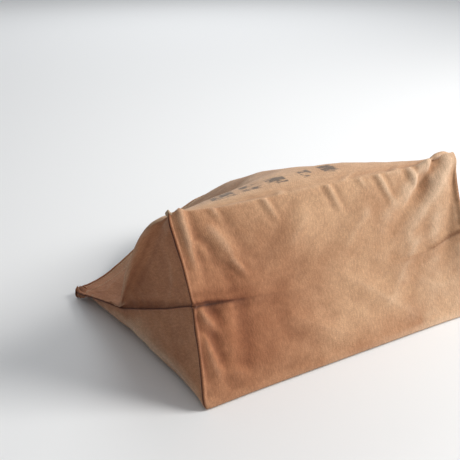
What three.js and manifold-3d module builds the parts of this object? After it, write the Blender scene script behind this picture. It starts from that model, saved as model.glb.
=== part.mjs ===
// A mail sack of heavy canvas with a boxed base, lying on its back panel with the mouth part open.
// Millimetres, +Z up. The base faces -Y, the mouth opens towards +Y, and the long side of the base
// runs along X. The origin is on the table, under the middle of the sack's bounding box.
//
// The sack is cut as a tube of canvas, folded at the base and boxed at its two corners, so its cross
// section always has the girth of the base. The panels are the lengths of cloth between the folds.
import * as THREE from "three";
import { mergeVertices } from "three/addons/utils/BufferGeometryUtils.js";
import Module from "manifold-3d";

// Driving dimensions
const baseLength = 366;
const baseDepth = 200;
const sackHeight = 270; // base to mouth, along the cloth
const baseLean = THREE.MathUtils.degToRad(22); // the base leans back towards the mouth
const cloth = 1.6; // wall of a panel, seam allowance or hem
const gap = 0.2; // between a panel and the fold line that it meets
const hemWidth = 30;
const bindingWidth = 10;

// Eyelets for the closing cord, set through the panel and its hem
const eyeletsPerLip = 3;
const eyeletSpacing = 92; // along X
const eyeletInset = 16; // from the mouth's edge
const eyeletBore = 8;
const eyeletBarrel = 8.7;
const eyeletFlange = 13.4;
const metal = 0.9; // thickness of a flange or washer
const eyeletSeat = 1.5; // cloth to metal, so that a flat flange clears the curved cloth
const holeClearance = 0.7; // round the barrel, in the cloth
const holeReach = 20; // long enough to pass through panel and hem
const washerClearance = 0.4;
const crimpGap = 0.3; // washer to the rolled rim
const rimLap = 1.6; // how far the rolled rim reaches past the barrel
const flangeBevel = 0.6;
const boreBevel = 0.4;
const roundSides = 20;

// Corners and seam points of the right half, on the inside of the cloth
const tableClearance = cloth + gap;
const halfLength = baseLength / 2;
const halfFlat = (baseLength + baseDepth) / 2; // half the width of the sack laid flat
const foldY = baseDepth * Math.sin(baseLean);
const foldZ = tableClearance + baseDepth * Math.cos(baseLean);
const seamPinch = 8; // the end seam is drawn in at the side seam
const upperCorner = new THREE.Vector3(halfLength, foldY, foldZ);
const lowerCorner = new THREE.Vector3(halfLength, 0, tableClearance);
const sideSeamStart = new THREE.Vector3(halfLength - seamPinch, foldY / 2, (foldZ + tableClearance) / 2);
const sideSeamBend = new THREE.Vector3(halfLength + 29, 149, 42); // where the end closes flat
const mouthCorner = new THREE.Vector3(halfLength + 59, 266, 9);
const bendShare = 0.52; // the bend's place between base and mouth

// Middle line of the front panel from the fold to the mouth, as (y, z)
const foldSag = 9; // the fold droops between the two corners
const frontMiddle = new THREE.SplineCurve([
  new THREE.Vector2(foldY, foldZ - foldSag),
  new THREE.Vector2(118, 181),
  new THREE.Vector2(184, 157),
  new THREE.Vector2(252, 125),
  new THREE.Vector2(322, 80),
]);
const frontSwell = 20; // cloth that hangs out past the ridges
const backSwell = 9;
const lipLift = 4; // the back panel's mouth edge stands off the table

// How the cloth curves between the middle and the sides. A share is of the way from fold to mouth, and a
// power says how closely a curve keeps to the sides: the higher, the closer.
const frontShape = {
  foldArch: 0.3, // powers of the arch at the fold and near the mouth
  mouthArch: 4,
  archedBy: 0.7,
  roundedBy: 0.12,
  widenedBy: 0.15,
  swellPower: 2.7,
  swellShare: 0.66,
  swellRise: 1 / 3,
};
const backShape = {
  risePower: 20,
  sidePower: 4,
  swellPower: 14,
  swellShare: 1,
  liftFrom: 0.72,
  liftRun: 0.25,
};
const pinchPower = 6;

// Clearances between pieces that are sewn together, and where the bound seam edges start and stop
const foldClearance = 0.6;
const sideClearance = 1.6;
const triangleInset = 2;
const hemReach = 0.86; // of the half width, so that the hems clear the side seams
const sideBinding = { from: 0.09, to: 0.84, start: 8, drop: -0.22 };
const endBinding = { from: 0.06, to: 0.94, start: 3, intoSack: 0.8 };

// Facets of each surface
const panelFacets = { across: 20, along: 9 };
const baseFacets = { across: 16, up: 6 };
const bindingFacets = 6;
const turnLines = [-0.97, -0.93, 0.93, 0.97]; // extra lines across, where the panels turn sharply

const smooth = (t) => THREE.MathUtils.smoothstep(t, 0, 1);
const mix = THREE.MathUtils.lerp;

// The line where a large panel ends: the ridge from a corner to the bend, then the side seam.
function panelEdge(corner, share) {
  return share < bendShare
    ? corner.clone().lerp(sideSeamBend, share / bendShare)
    : sideSeamBend.clone().lerp(mouthCorner, (share - bendShare) / (1 - bendShare));
}

// How far the cloth hangs out sideways. It ends before the mouth, where the seam lies at the very edge.
function swellAt(size, sharpness, reach, across, share) {
  const outward = Math.sin(Math.PI * Math.abs(across) ** sharpness);
  return size * outward * Math.sin(Math.PI * Math.min(share / reach, 1));
}

// Front panel, inside surface. across runs -1 to 1 from side to side, share 0 to 1 from fold to mouth.
function frontPoint(across, share) {
  const edge = panelEdge(upperCorner, share);
  const middle = frontMiddle.getPoint(share);
  const { foldArch, mouthArch, archedBy, roundedBy, widenedBy } = frontShape;
  const { swellPower, swellShare, swellRise } = frontShape;
  const angle = (Math.PI / 2) * across;
  const arch = Math.max(Math.cos(angle), 0) ** mix(foldArch, mouthArch, smooth(share / archedBy));
  const crown = mix(1 - across ** 2, arch, smooth(share / roundedBy));
  const swell = swellAt(frontSwell, swellPower, swellShare, across, share);
  return new THREE.Vector3(
    edge.x * mix(across, Math.sin(angle), smooth(share / widenedBy)) + Math.sign(across) * swell,
    mix(edge.y, middle.x, crown),
    mix(edge.z, middle.y, crown) + swell * swellRise,
  );
}

// Back panel, inside surface: flat on the table, turned up at its sides to meet the ridge and the seam.
function backPoint(across, share) {
  const edge = panelEdge(lowerCorner, share);
  const { risePower, sidePower, swellPower, swellShare, liftFrom, liftRun } = backShape;
  const rise = Math.abs(across) ** risePower;
  const lift = lipLift * smooth((share - liftFrom) / liftRun);
  const swell = swellAt(backSwell, swellPower, swellShare, across, share);
  return new THREE.Vector3(
    edge.x * across + Math.sign(across) * swell,
    mix(sackHeight * share, edge.y, Math.abs(across) ** sidePower),
    mix(tableClearance + lift, edge.z, rise),
  );
}

// Base panel, inside surface. across runs -1 to 1, up 0 to 1 from the back panel's fold to the front's.
function basePoint(across, up) {
  const pinch = seamPinch * (1 - Math.abs(2 * up - 1)) * Math.abs(across) ** pinchPower;
  return new THREE.Vector3(
    halfLength * across - Math.sign(across) * pinch,
    foldY * up,
    mix(tableClearance, foldZ - foldSag * (1 - across ** 2), up),
  );
}

// Unit normal of a surface point(s, t), by differences kept within s -1 to 1 and t 0 to 1.
function normalAt(point, s, t) {
  const step = 1e-3;
  const alongS = point(Math.min(s + step, 1), t).sub(point(Math.max(s - step, -1), t));
  const alongT = point(s, Math.min(t + step, 1)).sub(point(s, Math.max(t - step, 0)));
  return alongS.cross(alongT).normalize();
}

// A closed wall over the surface point(s, t), from near to far along its normal.
function wall(point, sValues, tValues, near, far) {
  const columns = tValues.length;
  const positions = [];
  for (const offset of [near, far])
    for (const s of sValues)
      for (const t of tValues)
        positions.push(...point(s, t).addScaledVector(normalAt(point, s, t), offset));
  const layer = sValues.length * columns;
  const index = [];
  const quad = (a, b, c, d) => index.push(a, b, c, a, c, d);
  const at = (i, j) => i * columns + j;
  const lastRow = sValues.length - 1;
  const lastColumn = columns - 1;
  for (let i = 0; i < lastRow; i++)
    for (let j = 0; j < lastColumn; j++) {
      quad(layer + at(i, j), layer + at(i + 1, j), layer + at(i + 1, j + 1), layer + at(i, j + 1));
      quad(at(i, j), at(i, j + 1), at(i + 1, j + 1), at(i + 1, j));
    }
  for (let i = 0; i < lastRow; i++) {
    quad(at(i, 0), at(i + 1, 0), layer + at(i + 1, 0), layer + at(i, 0));
    quad(at(i + 1, lastColumn), at(i, lastColumn), layer + at(i, lastColumn), layer + at(i + 1, lastColumn));
  }
  for (let j = 0; j < lastColumn; j++) {
    quad(at(0, j + 1), at(0, j), layer + at(0, j), layer + at(0, j + 1));
    quad(at(lastRow, j), at(lastRow, j + 1), layer + at(lastRow, j + 1), layer + at(lastRow, j));
  }
  return new THREE.BufferGeometry()
    .setAttribute("position", new THREE.Float32BufferAttribute(positions, 3))
    .setIndex(index);
}

// Evenly spaced values from low to high, with any extra ones that the shape needs.
function steps(low, high, count, ...extra) {
  const values = Array.from({ length: count + 1 }, (_, i) => mix(low, high, i / count));
  const near = (high - low) / count / 3;
  const kept = values.filter((v) => v === low || v === high || extra.every((e) => Math.abs(e - v) > near));
  return [...kept, ...extra].sort((a, b) => a - b);
}

const wasm = await Module();
wasm.setup();

// A geometry as a manifold-3d solid, with its shared vertices merged.
function solidOf(geometry) {
  const bare = new THREE.BufferGeometry()
    .setAttribute("position", geometry.getAttribute("position"))
    .setIndex(geometry.getIndex());
  const merged = mergeVertices(bare, 1e-3);
  const mesh = new wasm.Mesh({
    numProp: 3,
    vertProperties: merged.getAttribute("position").array,
    triVerts: new Uint32Array(merged.getIndex().array),
  });
  return new wasm.Manifold(mesh);
}

// The geometry with each tool cut out of it.
function cut(geometry, tools) {
  const solid = tools.reduce((left, tool) => left.subtract(solidOf(tool)), solidOf(geometry));
  const mesh = solid.getMesh();
  return new THREE.BufferGeometry()
    .setAttribute("position", new THREE.Float32BufferAttribute(mesh.vertProperties, 3))
    .setIndex(Array.from(mesh.triVerts));
}

const canvasFinish = new THREE.MeshStandardMaterial({ color: 0xa9784f, roughness: 0.95, metalness: 0 });
const hemFinish = new THREE.MeshStandardMaterial({ color: 0xa07148, roughness: 0.95, metalness: 0 });
const bindingFinish = new THREE.MeshStandardMaterial({ color: 0x8a6243, roughness: 0.9, metalness: 0 });
const brassFinish = new THREE.MeshStandardMaterial({ color: 0x9a7f4a, roughness: 0.45, metalness: 1 });

const sack = new THREE.Group();

function addMesh(name, geometry, material) {
  geometry.computeVertexNormals();
  const mesh = new THREE.Mesh(geometry, material);
  mesh.name = name;
  sack.add(mesh);
  return mesh;
}

// A lip is a large panel's end at the mouth. outward is 1 where the panel's normal points out of the sack.
const foldGap = foldClearance / sackHeight;
const sideGap = sideClearance / halfFlat;
const hemStart = 1 - hemWidth / sackHeight;
const lips = {
  front: { point: frontPoint, outward: 1, acrossAt: (part) => Math.asin(part) / (Math.PI / 2) },
  back: { point: backPoint, outward: -1, acrossAt: (part) => part },
};

// Stands an eyelet's axis on the lip, pointing out of the sack, at one place along it.
function eyeletPose(lip, place) {
  const share = 1 - eyeletInset / sackHeight;
  const offset = (place - (eyeletsPerLip - 1) / 2) * eyeletSpacing;
  const across = lip.acrossAt(offset / mouthCorner.x);
  const normal = normalAt(lip.point, across, share).multiplyScalar(lip.outward);
  const turn = new THREE.Quaternion().setFromUnitVectors(new THREE.Vector3(0, 1, 0), normal);
  return { centre: lip.point(across, share), turn };
}

function eyeletHole({ centre, turn }) {
  const radius = eyeletBarrel + holeClearance;
  return new THREE.CylinderGeometry(radius, radius, holeReach, roundSides)
    .applyQuaternion(turn)
    .translate(centre.x, centre.y, centre.z);
}

// Outer flange, barrel and the rim rolled over the washer, turned about the eyelet's own axis. Height 0
// is the inside of the panel.
function eyeletGeometry() {
  const top = gap + cloth + eyeletSeat;
  const bottom = -(gap + cloth + gap + eyeletSeat + metal + crimpGap);
  const rim = eyeletBarrel + rimLap;
  const profile = [
    [eyeletBore, bottom - metal],
    [rim, bottom - metal],
    [rim, bottom],
    [eyeletBarrel, bottom],
    [eyeletBarrel, top],
    [eyeletFlange, top],
    [eyeletFlange - flangeBevel, top + metal],
    [eyeletBore + boreBevel, top + metal],
    [eyeletBore, top + metal - boreBevel],
    [eyeletBore, bottom - metal],
  ];
  return new THREE.LatheGeometry(profile.map(([r, h]) => new THREE.Vector2(r, h)), roundSides);
}

function washerGeometry() {
  const top = -(gap + cloth + gap + eyeletSeat);
  const inner = eyeletBarrel + washerClearance;
  const profile = [
    [inner, top - metal],
    [eyeletFlange, top - metal],
    [eyeletFlange, top],
    [inner, top],
    [inner, top - metal],
  ];
  return new THREE.LatheGeometry(profile.map(([r, h]) => new THREE.Vector2(r, h)), roundSides);
}

// The two large panels, each with a turned hem at the mouth and its eyelets.
for (const [side, lip] of Object.entries(lips)) {
  const poses = Array.from({ length: eyeletsPerLip }, (_, place) => eyeletPose(lip, place));
  const holes = poses.map(eyeletHole);
  const outwards = (near, far) => (lip.outward > 0 ? [near, far] : [-far, -near]);
  const across = steps(-1 + sideGap, 1 - sideGap, panelFacets.across, ...turnLines);
  const along = steps(foldGap, 1, panelFacets.along, bendShare);
  const panel = wall(lip.point, across, along, ...outwards(gap, gap + cloth));
  addMesh(`${side}_panel`, cut(panel, holes), canvasFinish);

  const hemAcross = across.filter((v) => Math.abs(v) < hemReach);
  const hem = wall(lip.point, hemAcross, [hemStart, 1], ...outwards(-gap - cloth, -gap));
  addMesh(`${side}_hem`, cut(hem, holes), hemFinish);

  poses.forEach(({ centre, turn }, place) => {
    const pieces = { eyelet: eyeletGeometry(), eyelet_washer: washerGeometry() };
    for (const [piece, geometry] of Object.entries(pieces)) {
      const mesh = addMesh(`${side}_${piece}_${place + 1}`, geometry, brassFinish);
      mesh.position.copy(centre);
      mesh.quaternion.copy(turn);
    }
  });
}

// The base between its two folds.
const baseAcross = steps(-1 + sideGap, 1 - sideGap, baseFacets.across);
const baseUp = steps(foldGap, 1 - foldGap, baseFacets.up);
addMesh("base_panel", wall(basePoint, baseAcross, baseUp, gap, gap + cloth), canvasFinish);

// A flat triangle of cloth between three points, kept clear of its edges, thickened along its normal.
function triangle(a, b, c) {
  const centre = new THREE.Vector3().add(a).add(b).add(c).divideScalar(3);
  const xAxis = b.clone().sub(a).normalize();
  const zAxis = xAxis.clone().cross(c.clone().sub(a)).normalize();
  const frame = new THREE.Matrix4().makeBasis(xAxis, zAxis.clone().cross(xAxis), zAxis).setPosition(centre);
  const toLocal = frame.clone().invert();
  const corners = [a, b, c].map((corner) => corner.clone().applyMatrix4(toLocal));
  const sides = corners.map((corner, i) => corners[(i + 1) % 3].clone().sub(corner).length());
  const inradius =
    Math.abs(corners[1].clone().sub(corners[0]).cross(corners[2].clone().sub(corners[0])).z) /
    (sides[0] + sides[1] + sides[2]);
  const incentre = new THREE.Vector3();
  corners.forEach((corner, i) => incentre.addScaledVector(corner, sides[(i + 1) % 3]));
  incentre.divideScalar(sides[0] + sides[1] + sides[2]);
  const shape = new THREE.Shape(
    corners.map((corner) => {
      const drawn = corner.clone().lerp(incentre, triangleInset / inradius);
      return new THREE.Vector2(drawn.x, drawn.y);
    }),
  );
  return new THREE.ExtrudeGeometry(shape, { depth: cloth, bevelEnabled: false })
    .translate(0, 0, gap)
    .applyMatrix4(frame);
}

const mirrorX = (v, side) => new THREE.Vector3(v.x * side, v.y, v.z);

// Ends: two triangles of cloth that meet on the side seam, and the bound seam allowances inside.
for (const [name, side] of [["left", -1], ["right", 1]]) {
  const [upper, lower, start, bend] = [upperCorner, lowerCorner, sideSeamStart, sideSeamBend].map((v) =>
    mirrorX(v, side),
  );
  const upperEnd = side > 0 ? triangle(start, bend, upper) : triangle(start, upper, bend);
  const lowerEnd = side > 0 ? triangle(start, lower, bend) : triangle(start, bend, lower);
  addMesh(`${name}_end_upper`, upperEnd, canvasFinish);
  addMesh(`${name}_end_lower`, lowerEnd, canvasFinish);

  // The side seam runs from the end seam, round the bend, to the mouth's corner.
  const inwards = new THREE.Vector3(-side, 0, sideBinding.drop).normalize();
  const besideSeam = (share, width) =>
    mirrorX(panelEdge(sideSeamStart, share), side)
      .addScaledVector(inwards, sideBinding.start + bindingWidth * width);
  const seamSteps = steps(sideBinding.from, sideBinding.to, bindingFacets, bendShare);
  const sideStrip = wall(besideSeam, seamSteps, [0, 1], -cloth / 2, cloth / 2);
  addMesh(`${name}_side_seam_binding`, sideStrip, bindingFinish);

  const intoCorner = new THREE.Vector3(-side, endBinding.intoSack, 0).normalize();
  const besideEnd = (up, width) =>
    basePoint(side, up).addScaledVector(intoCorner, endBinding.start + bindingWidth * width);
  const endSteps = steps(endBinding.from, endBinding.to, bindingFacets);
  const endStrip = wall(besideEnd, endSteps, [0, 1], -cloth / 2, cloth / 2);
  addMesh(`${name}_end_seam_binding`, endStrip, bindingFinish);
}

// Stands the origin under the middle of the sack.
const box = new THREE.Box3().setFromObject(sack);
const middle = box.getCenter(new THREE.Vector3());
for (const mesh of sack.children) mesh.position.sub(new THREE.Vector3(middle.x, middle.y, box.min.z));

export default sack;
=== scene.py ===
import math

import bmesh
import bpy
import numpy as np
from mathutils import Matrix, Vector, noise
from mathutils.bvhtree import BVHTree
from mathutils.interpolate import poly_3d_calc


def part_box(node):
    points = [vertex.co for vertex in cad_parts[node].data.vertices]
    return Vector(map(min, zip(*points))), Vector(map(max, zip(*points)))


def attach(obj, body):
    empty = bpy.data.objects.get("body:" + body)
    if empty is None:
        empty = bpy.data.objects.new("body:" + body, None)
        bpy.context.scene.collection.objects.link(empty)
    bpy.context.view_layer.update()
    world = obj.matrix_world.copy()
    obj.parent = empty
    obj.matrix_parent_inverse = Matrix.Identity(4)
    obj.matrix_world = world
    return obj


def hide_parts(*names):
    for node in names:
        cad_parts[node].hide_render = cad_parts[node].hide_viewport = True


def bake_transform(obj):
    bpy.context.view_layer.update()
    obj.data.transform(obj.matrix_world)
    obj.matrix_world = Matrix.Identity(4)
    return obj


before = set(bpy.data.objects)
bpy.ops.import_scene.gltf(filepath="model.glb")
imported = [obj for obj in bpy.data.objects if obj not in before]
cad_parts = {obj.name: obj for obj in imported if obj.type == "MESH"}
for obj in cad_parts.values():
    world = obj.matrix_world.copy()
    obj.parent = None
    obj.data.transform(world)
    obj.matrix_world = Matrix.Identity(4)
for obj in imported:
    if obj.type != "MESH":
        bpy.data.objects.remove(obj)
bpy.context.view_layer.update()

mm = 0.001
scene = bpy.context.scene

# The sack's cut and stance, as the frame was built: the cloth between the folds, and how the base leans.
cut = {
    "length": 366 * mm,
    "depth": 200 * mm,
    "height": 270 * mm,
    "lean": math.radians(22),
    "table": 1.2 * mm,        # middle of the cloth over the table
    "seamPinch": 8 * mm,      # the end seam is drawn in at the side seam
    "foldSag": 9 * mm,        # the upper fold droops between the corners
    "bendShare": 0.52,        # where an end closes flat, from base to mouth
    "clothThickness": 1.1 * mm,
}
halfLength = cut["length"] / 2
halfFlat = halfLength + cut["depth"] / 2
seamY = cut["depth"] / 2
foldY = cut["depth"] * math.sin(cut["lean"])
foldZ = cut["table"] + cut["depth"] * math.cos(cut["lean"])
origin = np.array([0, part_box("base_panel")[0].y + 1.5 * mm, 0])

upperCorner = np.array([halfLength, foldY, foldZ])
lowerCorner = np.array([halfLength, 0, cut["table"]])
seamStart = np.array([halfLength - cut["seamPinch"], foldY / 2, (foldZ + cut["table"]) / 2])
seamBend = np.array([halfLength + 29 * mm, 149 * mm, 42 * mm])
mouthCorner = np.array([halfLength + 59 * mm, 266 * mm, 9 * mm])


def lerp(a, b, t):
    return a + (b - a) * t


def smooth(t):
    t = np.clip(t, 0, 1)
    return t * t * (3 - 2 * t)


def bump(distance, width):
    return np.exp(-((distance / width) ** 2))


def columns(*values):
    return np.stack(np.broadcast_arrays(*values), axis=-1)


def curveThrough(points, t):
    # a smooth curve through evenly spaced points
    points = np.array(points)
    last = len(points) - 1
    place = np.clip(t, 0, 1) * last
    i = np.minimum(place.astype(int), last - 1)
    w = (place - i)[..., None]
    before, here = points[np.maximum(i - 1, 0)], points[i]
    after, further = points[i + 1], points[np.minimum(i + 2, last)]
    startSlope, endSlope = (after - before) / 2, (further - here) / 2
    cubic = 2 * here - 2 * after + startSlope + endSlope
    square = 3 * (after - here) - 2 * startSlope - endSlope
    return cubic * w**3 + square * w**2 + startSlope * w + here


def panelEdge(corner, share):
    # the ridge from a corner to the bend, then the side seam to the mouth
    bend = cut["bendShare"]
    ridge = lerp(corner, seamBend, np.clip(share / bend, 0, 1)[..., None])
    return lerp(ridge, mouthCorner, np.clip((share - bend) / (1 - bend), 0, 1)[..., None])


def frontPoints(across, share):
    middle = curveThrough(
        [
            (foldY, foldZ - cut["foldSag"]),
            (118 * mm, 181 * mm),
            (184 * mm, 157 * mm),
            (252 * mm, 125 * mm),
            (322 * mm, 80 * mm),
        ],
        share,
    )
    edge = panelEdge(upperCorner, share)
    angle = across * math.pi / 2
    peak = lerp(0.3, 4.0, smooth(share / 0.7))
    arch = np.maximum(np.cos(angle), 0) ** peak
    crown = lerp(1 - across**2, arch, smooth(share / 0.12))
    swell = 20 * mm * np.sin(math.pi * abs(across) ** 2.7) * np.sin(math.pi * np.minimum(share / 0.66, 1))
    x = edge[..., 0] * lerp(across, np.sin(angle), smooth(share / 0.15)) + np.sign(across) * swell
    y = lerp(edge[..., 1], middle[..., 0], crown)
    z = lerp(edge[..., 2], middle[..., 1], crown) + swell / 3
    return columns(x, y, z)


def backPoints(across, share):
    edge = panelEdge(lowerCorner, share)
    swell = 9 * mm * np.sin(math.pi * abs(across) ** 14) * np.sin(math.pi * share)
    lift = 4 * mm * smooth((share - 0.72) / 0.25)
    x = edge[..., 0] * across + np.sign(across) * swell
    y = lerp(cut["height"] * share, edge[..., 1], abs(across) ** 4)
    z = lerp(cut["table"] + lift, edge[..., 2], abs(across) ** 20)
    return columns(x, y, z)


def basePoints(across, up):
    pinch = cut["seamPinch"] * (1 - abs(2 * up - 1)) * abs(across) ** 6
    x = halfLength * across - np.sign(across) * pinch
    z = lerp(cut["table"], foldZ - cut["foldSag"] * (1 - across**2), up)
    return columns(x, foldY * up, z)


def endPoints(side, towards, share, corner):
    # a flat triangle of cloth between the end seam, the ridge and the side seam
    flat = seamStart + (corner - seamStart) * towards[..., None]
    flat = flat + (seamBend - seamStart) * (share / cut["bendShare"])[..., None]
    return flat * columns(side, 1, 1)


def reachAt(share):
    # from the middle of a panel to its ridge, measured on the cloth
    return halfLength + cut["depth"] / 2 * np.minimum(share / cut["bendShare"], 1)


def placeCloth(flat):
    # from the cut, an open box standing on its base, to the sack as it lies
    x, y, h = flat.T
    side = np.where(x < 0, -1.0, 1.0)
    upper = y >= seamY
    fromSeam = np.minimum(y, cut["depth"] - y)
    onEnd = abs(x) > halfLength - 1e-6
    fromMiddle = np.where(onEnd, halfLength + fromSeam, abs(x))
    share = h / cut["height"]
    reach = reachAt(share)
    across = side * np.clip(fromMiddle / reach, 0, 1)
    placed = np.where(upper[:, None], frontPoints(across, share), backPoints(across, share))
    towards = (halfFlat - fromMiddle) / (cut["depth"] / 2)
    inEnd = onEnd & (fromMiddle > reach)
    for corner, chosen in ((upperCorner, inEnd & upper), (lowerCorner, inEnd & ~upper)):
        placed[chosen] = endPoints(side[chosen], towards[chosen], share[chosen], corner)
    onBase = h < 1e-6
    placed[onBase] = basePoints(x[onBase] / halfLength, y[onBase] / cut["depth"])
    return placed + origin


def getPoints(mesh, layer="position"):
    values = np.empty(len(mesh.vertices) * 3, np.float32)
    mesh.attributes[layer].data.foreach_get("vector", values)
    return values.reshape(-1, 3).astype(float)


def setPoints(mesh, points):
    mesh.vertices.foreach_set("co", np.asarray(points, np.float32).ravel())
    mesh.update()


def getNormals(mesh):
    values = np.empty(len(mesh.vertices) * 3, np.float32)
    mesh.vertex_normals.foreach_get("vector", values)
    return values.reshape(-1, 3).astype(float)


def getEdges(mesh):
    values = np.empty(len(mesh.edges) * 2, np.int32)
    mesh.edges.foreach_get("vertices", values)
    return values.reshape(-1, 2)


def addObject(name, mesh):
    made = bpy.data.objects.new(name, mesh)
    scene.collection.objects.link(made)
    return made


def meshFrom(bm, name):
    mesh = bpy.data.meshes.new(name)
    bm.to_mesh(mesh)
    bm.free()
    return mesh


def finish(made, material):
    made.data.shade_smooth()
    made.data.materials.clear()
    made.data.materials.append(material)


def applyModifiers(made):
    bpy.context.view_layer.update()
    shaped = made.evaluated_get(bpy.context.evaluated_depsgraph_get())
    mesh = bpy.data.meshes.new_from_object(shaped)
    made.modifiers.clear()
    made.shape_key_clear()
    made.data = mesh
    return mesh


def evenPlaces(low, high, step):
    count = max(1, round((high - low) / step))
    return [low + (high - low) * i / count for i in range(1, count)]


print("cutting the cloth")
clothGrid = {
    "acrossStep": 6.4 * mm,
    "upBaseStep": 4.8 * mm,
    "alongStep": 7.4 * mm,
    "besideSeams": [1.5 * mm, 4 * mm, 7 * mm],   # extra lines of vertices on each side of a seam or fold
    "besideMouth": 4 * mm,
}


def cutCloth():
    bm = bmesh.new()
    bmesh.ops.create_cube(bm, size=1)
    bmesh.ops.translate(bm, verts=bm.verts, vec=(0, 0.5, 0.5))
    bmesh.ops.scale(bm, verts=bm.verts, vec=(cut["length"], cut["depth"], cut["height"]))
    mouth = [f for f in bm.faces if f.normal.z > 0.9]
    bmesh.ops.delete(bm, geom=mouth, context="FACES_ONLY")
    fine = clothGrid["besideSeams"]
    edge = fine[-1]
    xPlaces = evenPlaces(-halfLength + edge, halfLength - edge, clothGrid["acrossStep"])
    xPlaces += [side * (halfLength - d) for side in (-1, 1) for d in fine]
    yPlaces = [seamY] + [seamY + side * d for side in (-1, 1) for d in fine]
    yPlaces += evenPlaces(edge, seamY - edge, clothGrid["upBaseStep"])
    yPlaces += evenPlaces(seamY + edge, cut["depth"] - edge, clothGrid["upBaseStep"])
    yPlaces += fine + [cut["depth"] - d for d in fine]
    lastLine = cut["height"] - clothGrid["besideMouth"]
    hPlaces = fine + evenPlaces(edge, lastLine, clothGrid["alongStep"]) + [lastLine]
    for axis, places in enumerate((xPlaces, yPlaces, hPlaces)):
        for place in sorted(places):
            co, no = Vector(), Vector()
            co[axis], no[axis] = place, 1
            everything = bm.verts[:] + bm.edges[:] + bm.faces[:]
            bmesh.ops.bisect_plane(bm, geom=everything, plane_co=co, plane_no=no)
    bmesh.ops.recalc_face_normals(bm, faces=bm.faces)
    return bm


def makeCloth():
    mesh = meshFrom(cutCloth(), "sack_canvas")
    flat = getPoints(mesh)
    kept = mesh.attributes.new("flat", "FLOAT_VECTOR", "POINT")
    kept.data.foreach_set("vector", flat.astype(np.float32).ravel())
    made = addObject("sack_canvas", mesh)
    setPoints(mesh, placeCloth(flat))
    return made, flat


canvas, flatCut = makeCloth()


print("draping the cloth")
drape = {
    "frames": 14,
    "baseHold": 0.75,
    "endHold": 0.55,
    "backHold": 0.9,
    "frontHold": 0.35,
    "lipHold": 0.8,
    "seamHold": 0.9,
    "gravity": 0.35,
    "bending": 6.0,
    "stretch": 40.0,
    "shear": 15.0,
    "mass": 0.3,
}


def holdWeights(flat):
    # how firmly each part of the cloth keeps its place while the rest settles
    x, y, h = flat.T
    onEnd = abs(x) > halfLength - 1e-6
    weights = np.where(y > seamY, drape["frontHold"], drape["backHold"])
    weights = np.where(onEnd, drape["endHold"], weights)
    weights = np.where(h < 1e-6, drape["baseHold"], weights)
    lip = smooth((h - cut["height"] + 40 * mm) / (20 * mm))
    weights = lerp(weights, drape["lipHold"], lip)
    seam = bump(abs(y - seamY), 8 * mm) * onEnd
    return np.maximum(weights, drape["seamHold"] * seam)


def addTable(name):
    bm = bmesh.new()
    bmesh.ops.create_grid(bm, x_segments=1, y_segments=1, size=1)
    made = addObject(name, meshFrom(bm, name))
    made.modifiers.new("collision", "COLLISION")
    made.collision.thickness_outer = 0.2 * mm
    return made


def drapeCloth(made, flat):
    made.shape_key_add(name="Basis")
    rest = made.shape_key_add(name="cut")
    rest.data.foreach_set("co", (flat + origin).astype(np.float32).ravel())
    rest.value = 0
    group = made.vertex_groups.new(name="held")
    for index, weight in enumerate(np.clip(holdWeights(flat), 0, 1)):
        group.add([index], float(weight), "REPLACE")
    cloth = made.modifiers.new("cloth", "CLOTH")
    settings = cloth.settings
    settings.quality = 8
    settings.mass = drape["mass"]
    settings.air_damping = 4
    settings.tension_stiffness = settings.compression_stiffness = drape["stretch"]
    settings.shear_stiffness = drape["shear"]
    settings.bending_stiffness = drape["bending"]
    settings.tension_damping = settings.compression_damping = settings.shear_damping = drape["shear"]
    settings.bending_damping = 1
    settings.vertex_group_mass = "held"
    settings.pin_stiffness = 1.0
    settings.rest_shape_key = rest
    settings.effector_weights.gravity = drape["gravity"]
    cloth.collision_settings.use_self_collision = False
    cloth.collision_settings.distance_min = 0.5 * mm
    cloth.point_cache.frame_start = 1
    cloth.point_cache.frame_end = drape["frames"]
    table = addTable("drape_table")
    for number in range(1, drape["frames"] + 1):
        scene.frame_set(number)
    applyModifiers(made)
    scene.frame_set(1)
    bpy.data.objects.remove(table)


drapeCloth(canvas, flatCut)


print("folds, creases and puckers")
hem = {
    "width": 30 * mm,
    "layerGap": 1.7 * mm,       # middle of the canvas to the middle of the turned layer
    "turnSteps": 4,
    "seamClearance": 9 * mm,
    "stitchRows": [5 * mm, 26 * mm],
    "stitchPitch": 3.9 * mm,
    "stitchLength": 2.9 * mm,
    "threadRadius": 0.42 * mm,
}
# Each crease runs from one place to another on the base, in mm across from its middle and up from its
# lower fold, with the depth and the half width in mm; a depth below nothing is a raised fold.
baseCreases = [
    (-140, 203, -128, 180, 1.6, 2.8),
    (-82, 203, -66, 172, 1.9, 3.0),
    (-3, 202, 17, 163, 2.1, 3.2),
    (40, 203, 50, 186, 1.2, 2.6),
    (66, 203, 88, 160, 2.1, 3.4),
    (112, 203, 126, 166, 2.1, 3.6),
    (139, 206, 146, 168, 4.6, 7.5),
    (-172, 196, -168, 128, 3.9, 5.0),
    (-160, 164, -152, 146, 2.3, 4.5),
    (-141, 174, -108, 116, 3.0, 8.5),
    (-126, 140, -108, 118, 1.6, 3.2),
    (-138, 92, -147, 22, 2.0, 9.0),
    (-174, 92, -156, 70, 3.9, 5.5),
    (-173, 66, -160, 14, 2.9, 5.0),
    (-158, 34, -120, 16, 1.3, 6.0),
    (164, 204, 74, 118, -5.8, 10.0),
    (126, 190, 98, 142, 2.8, 8.0),
    (178, 160, 150, 60, -2.6, 11.0),
    (-60, 60, 10, 18, 1.3, 9.0),
    (30, 75, 96, 20, 1.5, 10.0),
    (-34, 168, -80, 112, 1.7, 10.0),
    (46, 156, -2, 108, 1.7, 10.0),
    (112, 104, 60, 44, 1.7, 10.0),
]
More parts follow.
